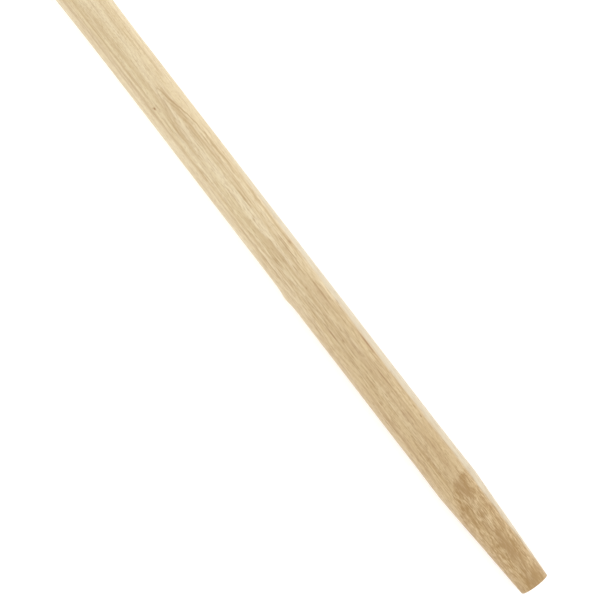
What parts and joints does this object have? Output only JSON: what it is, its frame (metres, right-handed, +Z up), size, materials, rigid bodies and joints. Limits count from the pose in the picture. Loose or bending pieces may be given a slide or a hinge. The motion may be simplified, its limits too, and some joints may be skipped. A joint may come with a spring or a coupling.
{
  "type": "splitting maul",
  "caption": "Long-handled splitting maul: a wedge-shaped steel head with an eight-sided poll, hung on a straight round wooden handle that tapers to a plain cut end.",
  "frame": {"origin": "on the floor, under the middle of the tool's box, with the tool lying on its side", "axes": "+X from the head to the handle's butt, +Y from the poll to the cutting edge, +Z up"},
  "size_m": [0.9142, 0.203, 0.0599],
  "materials": {
    "head_steel": "forged steel in a thin dark charcoal enamel, with the poll face and the cutting bevel ground bare",
    "handle_wood": "pale straight-grained hardwood, machine-turned and sanded, with a thin matt seal; darker where the taper cuts the grain",
    "wedge_wood": "plain sawn poplar end grain, sawn flush",
    "wedge_steel": "bare steel, hammered tops"
  },
  "bodies": {
    "root": {"maul_head": "head_steel", "handle": "handle_wood", "wooden_wedge": "wedge_wood", "steel_wedge_poll_side": "wedge_steel", "steel_wedge_edge_side": "wedge_steel"}
  },
  "joints": []
}
